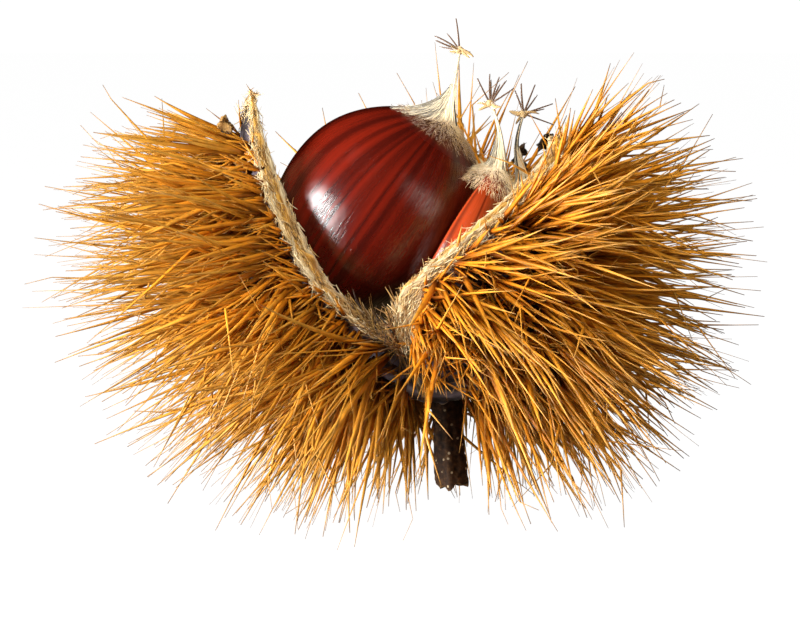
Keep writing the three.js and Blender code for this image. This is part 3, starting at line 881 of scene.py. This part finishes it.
def shoulder_hair(rng, nut, share, angle, lift, lengths):
    """Paths for hairs that run from the nut's surface down its shoulder, and the share at each ring."""
    roots = on_nut(nut, share, angle)
    down = unit(on_nut(nut, share - 0.02, angle) - roots)
    round_way = unit(on_nut(nut, share, angle + 0.02) - roots)
    outward = unit(np.cross(down, round_way))
    outward = outward * np.sign(((roots - nut["centre"]) * outward).sum(-1))[:, None]
    stray = round_way * rng.normal(0, 0.3, len(share))[:, None]
    directions = unit(down + outward * lift[:, None] + stray)
    paths, shares = strand_paths(rng, roots - outward * 0.05, directions, lengths, bend=0.15, rings=6)
    sag = (lengths[:, None] * shares) ** 2 / (2.2 * nut["size"][0])
    return paths - shifts(outward, sag), shares


def aged(solid, ages, per_strand=1):
    """A solid of the style with its points' ages."""
    return (*solid, np.repeat(ages, per_strand))


def round_ways(angles):
    """The level way out at each of these angles."""
    return np.stack([np.cos(angles), np.sin(angles), np.zeros(len(angles))], 1)


def velvet(rng, nut):
    """Velvet that lies down the shoulder, browner further from the tip."""
    count = VELVET_HAIRS
    low = rng.random(count) ** 0.8
    share = 1 - (1 - nut["felt_to"]) * low
    angle = rng.uniform(0, 2 * np.pi, count)
    lift = rng.uniform(0.05, 0.4, count)
    paths, shares = shoulder_hair(rng, nut, share, angle, lift, rng.uniform(0.6, 1.4, count))
    widths = rng.uniform(0.07, 0.12, count)[:, None] * (1 - 0.8 * shares)
    youngest, oldest = nut["velvet"]
    age = rng.normal(youngest + (oldest - youngest) * low, 0.09)
    return aged(sweep(paths, widths), np.clip(age, 0, 0.8), len(shares) * 4)


def hair_tent(rng, nut, tip, top):
    """Pale hair that lies on the tip and runs up into the neck like a tent, from furthest out on the left."""
    count = TENT_HAIRS
    half = count // 2
    angle = np.concatenate([rng.uniform(0, 2 * np.pi, half), rng.normal(np.pi, 0.7, count - half)])
    leftward = np.clip(-np.cos(angle), 0, 1)
    share = 1 - (0.09 + nut["cap"] * leftward) * rng.random(count) ** 0.9
    roots = on_nut(nut, share, angle)
    rise = rng.uniform(0.05, 0.55, count)[:, None]
    ring = round_ways(angle)
    ends = tip + (top - tip) * rise + ring * (0.55 * (1 - rise) + 0.05)
    ends[:, 0] += nut["bow"] * np.sin(np.pi * rise[:, 0])
    bends = tip + (roots - tip) * 0.3 + ring * 0.25 + unit(top - tip) * 0.35
    bends += unit(roots - nut["centre"]) * 0.3
    shares = np.linspace(0, 1, 9)
    t = shares[:, None]
    paths = roots[:, None] * (1 - t) ** 2 + bends[:, None] * 2 * t * (1 - t) + ends[:, None] * t ** 2
    paths = paths + rng.normal(0, 0.12, (count, 1, 3)) * np.sin(np.pi * t)
    widths = rng.uniform(0.1, 0.2, count)[:, None] * (1 - 0.5 * shares)
    age = np.clip(rng.normal(0.08 + 0.2 * (1 - leftward), 0.08, count), 0, 0.5)
    return aged(sweep(paths, widths), age, len(shares) * 4)


def neck(rng, nut, tip, top):
    """Fibres that part at the foot and join below the knob."""
    count, rings, sides = NECK_FIBRES, 12, 6
    turn = 2 * np.pi * np.arange(count) / count + rng.normal(0, 0.2, count)
    shares = np.linspace(0, 1, rings)
    arch = np.sin(np.pi * shares)[:, None]
    middle = tip + (top - tip) * shares[:, None] + np.array([nut["bow"], 0, 0]) * arch
    apart = nut["foot"] * rng.uniform(0.5, 1.2, count)[:, None] * (1 - shares) ** 3 + 0.14
    paths = middle[None] + shifts(round_ways(turn), apart)
    paths[..., 2] -= apart * 0.8 * (1 - shares) ** 4
    paths = paths + rng.normal(0, 0.09, (count, 1, 3)) * arch[None]
    widths = rng.uniform(0.26, 0.46, count)[:, None] * (1 - 0.35 * shares)
    return aged(sweep(paths, widths, 0.6, sides=sides), rng.uniform(0.0, 0.25, count), rings * sides)


def knob(nut, top):
    """The lumpy knob at the top of the neck."""
    level = np.linspace(-1, 1, 9)
    middle = top + level[:, None] * np.array([0.15, 0, 0.6])
    widths = (2 * np.sqrt(1.01 - level ** 2) * 0.55)[None]
    points, faces = sweep(middle[None], widths, 1.0, sides=12)
    return aged((wobble(points, 0.4, 0.35, nut["seed"]), faces), np.full(len(points), 0.56))


def knob_scales(rng, nut, top):
    """Scraps of dry scale round the knob, more to the right on the large nut."""
    count, rings = KNOB_SCALES, 6
    rightward = 0.7 if nut is NUTS["large_nut"] else 0
    ways = unit(rng.normal(0, 1, (count, 3)) * [1.0, 0.8, 0.35] + [rightward, 0, -0.1])
    paths, shares = strand_paths(rng, top + ways * 0.3, ways, rng.uniform(0.7, 1.9, count), 0.2, rings=rings)
    widths = rng.uniform(0.5, 1.0, count)[:, None] * np.sqrt(1 - 0.95 * shares ** 2)
    return aged(sweep(paths, widths, 0.35, rng.uniform(0, 3, count)), np.full(count * rings * 4, 0.6))


def stigmas(rng, nut, top):
    """The stiff dark stigmas that stand round the knob, the last two behind the others."""
    bristles = nut["bristles"]
    rings = 6
    fan = np.radians([*bristles, *(angle - 30 for angle in bristles[-2:])])
    count = len(fan)
    depth = np.where(np.arange(count) < len(bristles), rng.uniform(-0.3, 0.3, count), 0.9)
    ways = unit(np.stack([np.sin(fan), depth, np.cos(fan)], 1))
    paths, shares = strand_paths(rng, top + ways * 0.3, ways, rng.uniform(3.3, 4.4, count), 0.05, rings=rings)
    widths = rng.uniform(0.34, 0.44, count)[:, None] * (1 - 0.4 * shares)
    return aged(sweep(paths, widths, 0.8), np.full(count * rings * 4, 0.95))


def make_style(name, material):
    """The dried style on a nut's tip. The pale silk lets light through, so it casts no shadow."""
    nut = NUTS[name]
    rng = np.random.default_rng(nut["seed"] + 40)
    tip = on_nut(nut, np.array(1.0), np.array(0.0))
    top = nut["style_top"]
    solids = [
        velvet(rng, nut), hair_tent(rng, nut, tip, top), neck(rng, nut, tip, top), knob(nut, top),
        knob_scales(rng, nut, top), stigmas(rng, nut, top),
    ]
    faces, start = [], 0
    for points, corners, _ in solids:
        faces += [[corner + start for corner in face] for face in corners]
        start += len(points)
    points = np.concatenate([solid[0] for solid in solids])
    piece = make_piece(f"{name}_style", material, points, faces, (f"{name}_style_tuft",))
    point_values(piece, "age", np.concatenate([solid[2] for solid in solids]))
    piece.visible_shadow = False


# ---------- stalk ----------

def make_stalk(material):
    """The cut twig: ridged and lumpy, with a ragged end."""
    rings, sides, cap_rings = 60, 40, 6
    shares = np.concatenate([np.linspace(0, 1, rings), np.ones(cap_rings)])
    narrow = np.concatenate([np.ones(rings), np.linspace(0.9, 0.02, cap_rings)])
    centre = STALK_TOP + (STALK_CUT - STALK_TOP) * STALK_SHORTENED * shares[:, None]
    centre[:, 0] += 0.35 * np.sin(shares * 5)
    angles = 2 * np.pi * np.arange(sides) / sides
    down = unit(STALK_CUT - STALK_TOP)
    one, two = (axis[0] for axis in side_axes(down[None]))
    ridges = 1 + 0.05 * np.sin(angles * 5 + 1) + 0.03 * np.sin(angles * 9)
    swell = 1 + 0.06 * np.sin(shares * 9) + 0.12 * np.exp(-shares * 8)
    radius = STALK_RADIUS * (narrow * swell)[:, None] * ridges[None] * 0.95
    round_way = np.cos(angles)[:, None] * one + np.sin(angles)[:, None] * two
    points = centre[:, None] + radius[..., None] * round_way[None]
    ragged = np.clip(shares - 0.9, 0, 1) * 10
    torn = 0.35 * np.sin(angles * 3 + 0.6) + 0.25 * np.sin(angles * 7)
    points = points + down * (ragged[:, None] * torn[None] * narrow[:, None])[..., None]
    points = wobble(points.reshape(-1, 3), 0.9, 0.22, 9)
    total = rings + cap_rings
    faces = ring_faces(total, sides)
    faces.append(list(range(sides))[::-1])
    faces.append(list(range((total - 1) * sides, total * sides)))
    piece = make_piece("cut_stalk", material, points, faces, ("stem",))
    cut = np.repeat((np.arange(total) >= rings - 1).astype(float), sides)
    point_values(piece, "cut", cut)


# ---------- stage ----------

def glowing(roughness, glow):
    """A white sheet that glows evenly: acrylic lit from below, or cloth lit from behind."""
    def build(tree):
        return {
            "Base Color": linear("#5a5a5a"), "Roughness": roughness,
            "Emission Color": (1.0, 1.0, 1.0, 1.0), "Emission Strength": glow,
        }, {}
    return build


def stage_sheet(name, corners, build):
    mesh = bpy.data.meshes.new(name)
    mesh.from_pydata(corners, [], [(0, 1, 2, 3)])
    mesh.materials.append(new_material(name, build))
    sheet = bpy.data.objects.new(name, mesh)
    bpy.context.scene.collection.objects.link(sheet)
    sheet.visible_diffuse = False
    sheet.visible_glossy = False
    return sheet


def make_stage():
    side, back, top = 4.0, 1.6, 1.2
    ground = [(-side, -side, 0), (side, -side, 0), (side, side, 0), (-side, side, 0)]
    behind = [(-side, back, 0), (side, back, 0), (side, back, top), (-side, back, top)]
    floor = stage_sheet("floor", ground, glowing(0.1, 0.99))
    floor.visible_shadow = False
    stage_sheet("back_wall", behind, glowing(1.0, 1.0))


def area_light(name, place, target, size, power, colour="#ffffff", mirrored=True):
    lamp = bpy.data.lights.new(name, "AREA")
    lamp.shape = "RECTANGLE"
    lamp.size, lamp.size_y = size
    lamp.energy = power
    lamp.color = linear(colour)[:3]
    thing = bpy.data.objects.new(name, lamp)
    thing.location = place
    thing.rotation_euler = (Vector(target) - Vector(place)).to_track_quat("-Z", "Y").to_euler()
    thing.visible_glossy = mirrored
    thing.visible_camera = False
    bpy.context.scene.collection.objects.link(thing)


def make_lights():
    world = bpy.data.worlds.new("studio")
    world.use_nodes = True
    background = world.node_tree.nodes["Background"]
    background.inputs["Color"].default_value = (1, 1, 1, 1)
    background.inputs["Strength"].default_value = 0.13
    world.cycles_visibility.glossy = False
    bpy.context.scene.world = world
    heart = (0, 0, 0.045)
    area_light("left_softbox", (-0.42, -0.2, 0.02), heart, (0.25, 0.31), 9.0)
    area_light("right_softbox", (0.3, -0.36, 0.1), heart, (0.12, 0.18), 0.2, "#ffe0d2")
    area_light("high_front_light", (-0.2, -0.35, 0.5), heart, (0.2, 0.2), 3.8, mirrored=False)
    area_light("right_fill", (0.5, -0.3, 0.22), heart, (0.3, 0.3), 1.4, mirrored=False)


def make_camera():
    camera = bpy.data.cameras.new("camera")
    camera.lens = 150.0
    camera.sensor_width = 36.0
    width_seen = 0.1168
    distance = width_seen * camera.lens / camera.sensor_width
    elevation = math.radians(7)
    aim = Vector((0, 0, 0.0297))
    thing = bpy.data.objects.new("camera", camera)
    thing.location = aim + distance * Vector((0, -math.cos(elevation), math.sin(elevation)))
    thing.rotation_euler = (aim - thing.location).to_track_quat("-Z", "Y").to_euler()
    bpy.context.scene.collection.objects.link(thing)
    bpy.context.scene.camera = thing
    bpy.context.scene.view_settings.view_transform = "Standard"


# ---------- assembly ----------

make_camera()
make_lights()
make_stage()

wall_material = new_material("husk_wall", husk_wall)
spine_material = new_material("dry_spine", dry_spine)
fibre_material = new_material("torn_fibre", torn_fibre)
for name, valve in VALVES.items():
    make_wall(name, valve, wall_material)
    make_rim_fibres(name, valve, fibre_material)
    if valve["scraps"]:
        make_scraps(name, valve, fibre_material)
    make_spines(name, valve, spine_material)

mahogany = new_material("mahogany_shell", nut_shell("#5f1307", "#480e06", "#390a05"))
russet = new_material("russet_shell", nut_shell("#a03a18", "#843010", "#5f200c"))
first, second = PRESSED
make_nut("large_nut", [(first, 1)], mahogany)
make_nut("middle_nut", [(first, -1), (second, 1)], russet)
make_nut("small_nut", [(second, -1)], russet)

silk = new_material("style_silk", style_silk)
for name in NUTS:
    make_style(name, silk)
make_stalk(new_material("stalk_bark", stalk_bark))
